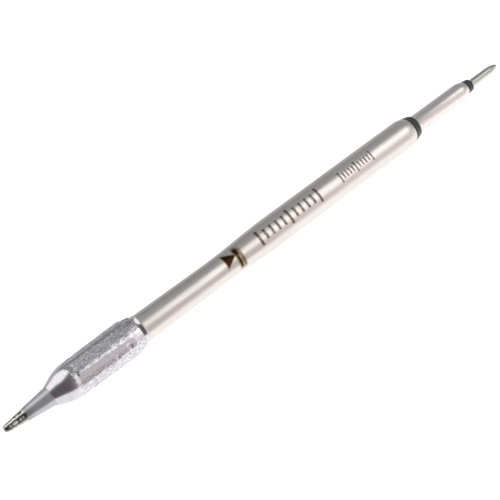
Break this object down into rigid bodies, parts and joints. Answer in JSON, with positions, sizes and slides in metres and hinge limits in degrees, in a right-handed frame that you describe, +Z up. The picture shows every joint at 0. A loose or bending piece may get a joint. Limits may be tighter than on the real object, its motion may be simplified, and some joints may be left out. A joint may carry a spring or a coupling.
{
  "type": "soldering iron tip",
  "caption": "Slim soldering cartridge with a fine conical bit, a flared and crimped barrel, a stainless stem and sleeve, and insulated coaxial contacts at the rear.",
  "frame": {"origin": "below the middle of the cartridge's length, level with the crimped flat that it lies on", "axes": "+X along the cartridge's axis from the working end to the contact pin, +Z up as it lies on its side"},
  "size_m": [0.108, 0.006, 0.0059],
  "materials": {
    "plated_bit": "iron and chromium plated copper, polished flare, grained crimped barrel, tinned end",
    "stainless": "drawn and swaged stainless steel, satin, with heat-tinted laser marks",
    "nickel": "nickel conductors and fittings",
    "resistance_wire": "oxidised resistance wire",
    "magnesia": "compacted magnesia",
    "steatite": "unglazed ceramic",
    "lead_sleeving": "high-temperature fluoropolymer sleeving",
    "seal_resin": "cured sealing resin",
    "black_insulator": "moulded black high-temperature plastic",
    "contact_plating": "nickel-plated turned contact, satin",
    "pin_plating": "nickel-plated turned pin, slightly dulled"
  },
  "bodies": {
    "root": {"soldering_bit": "plated_bit", "sheath_tube": "stainless", "sheath_end_plug": "nickel", "heater_coil": "resistance_wire", "coil_core": "magnesia", "magnesia_jacket": "magnesia", "coil_collar": "nickel", "rear_stopper": "steatite", "centre_conductor": "nickel", "lead_insulator": "lead_sleeving", "conductor_tube": "nickel", "stem_bead_front": "steatite", "stem_bead_rear": "steatite", "sleeve_bead_front": "steatite", "sleeve_bead_middle": "steatite", "sleeve_bead_rear": "steatite", "sheath_seal": "seal_resin", "front_insulator": "black_insulator", "contact_tube": "contact_plating", "rear_insulator": "black_insulator", "contact_pin": "pin_plating"}
  },
  "joints": []
}
